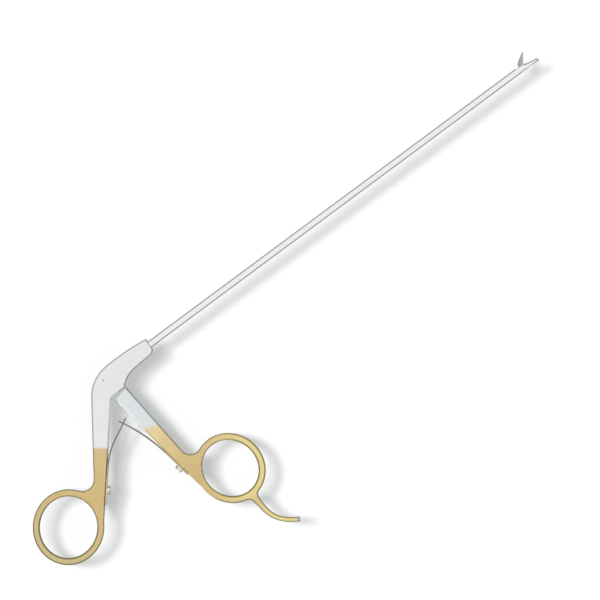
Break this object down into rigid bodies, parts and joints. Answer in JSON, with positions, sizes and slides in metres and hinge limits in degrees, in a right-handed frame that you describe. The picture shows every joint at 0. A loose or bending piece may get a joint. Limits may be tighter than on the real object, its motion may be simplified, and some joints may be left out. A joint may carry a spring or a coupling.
{
  "type": "biopsy punch",
  "caption": "Long slender biopsy punch: elbowed ring handles with crossing leaf springs work a rod inside a round tube, which swings a small hollow jaw into a fixed basket jaw.",
  "frame": {"origin": "on the shaft's axis, at the nose face of the handle's body, where the tube comes out", "axes": "+X along the shaft towards the jaws, +Y away from the finger rings, +Z out of the flat side that faces up when the instrument lies on a table"},
  "size_m": [0.2911, 0.1028, 0.006],
  "materials": {
    "satin_steel": "satin, finely blasted",
    "tube_steel": "polished along its length",
    "spring_steel": "ground spring steel",
    "screw_steel": "turned steel",
    "jaw_steel": "fine ground"
  },
  "bodies": {
    "handle_body": {"rear_handle": "satin_steel", "pivot_screw": "screw_steel", "rear_leaf_spring": "spring_steel", "rear_spring_screw": "screw_steel", "shaft_tube": "tube_steel", "lower_jaw": "jaw_steel", "jaw_pivot_pin": "screw_steel"},
    "front_handle_body": {"front_handle": "satin_steel", "drive_pin": "screw_steel", "front_leaf_spring": "spring_steel", "front_spring_screw": "screw_steel"},
    "rod": {"drive_rod": "tube_steel", "rod_clevis": "screw_steel", "rod_fork": "jaw_steel", "jaw_drive_pin": "screw_steel"},
    "biting_jaw": {"upper_jaw": "jaw_steel"}
  },
  "joints": [
    {"name": "handle_pivot", "type": "hinge", "parent": "handle_body", "child": "front_handle_body", "pos_m": [-0.0225, -0.005, 0], "axis": [0, 0, -1], "range_deg": [0, 12], "stiffness_Nm_per_rad": 0.5, "springref_deg": -20.05, "deforming": ["rear_leaf_spring", "front_leaf_spring"]},
    {"name": "rod_slide", "type": "slide", "parent": "handle_body", "child": "rod", "axis": [1, 0, 0], "range_m": [0, 0.000982]},
    {"name": "jaw_hinge", "type": "hinge", "parent": "handle_body", "child": "biting_jaw", "pos_m": [0.1943, -0.00055, 0], "axis": [0, 0, -1], "range_deg": [0, 50.12]}
  ],
  "couplings": [
    {"joint": "rod_slide", "follows": "handle_pivot", "m_per_rad": 0.0046886},
    {"joint": "jaw_hinge", "follows": "handle_pivot", "ratio": 4.1769}
  ]
}
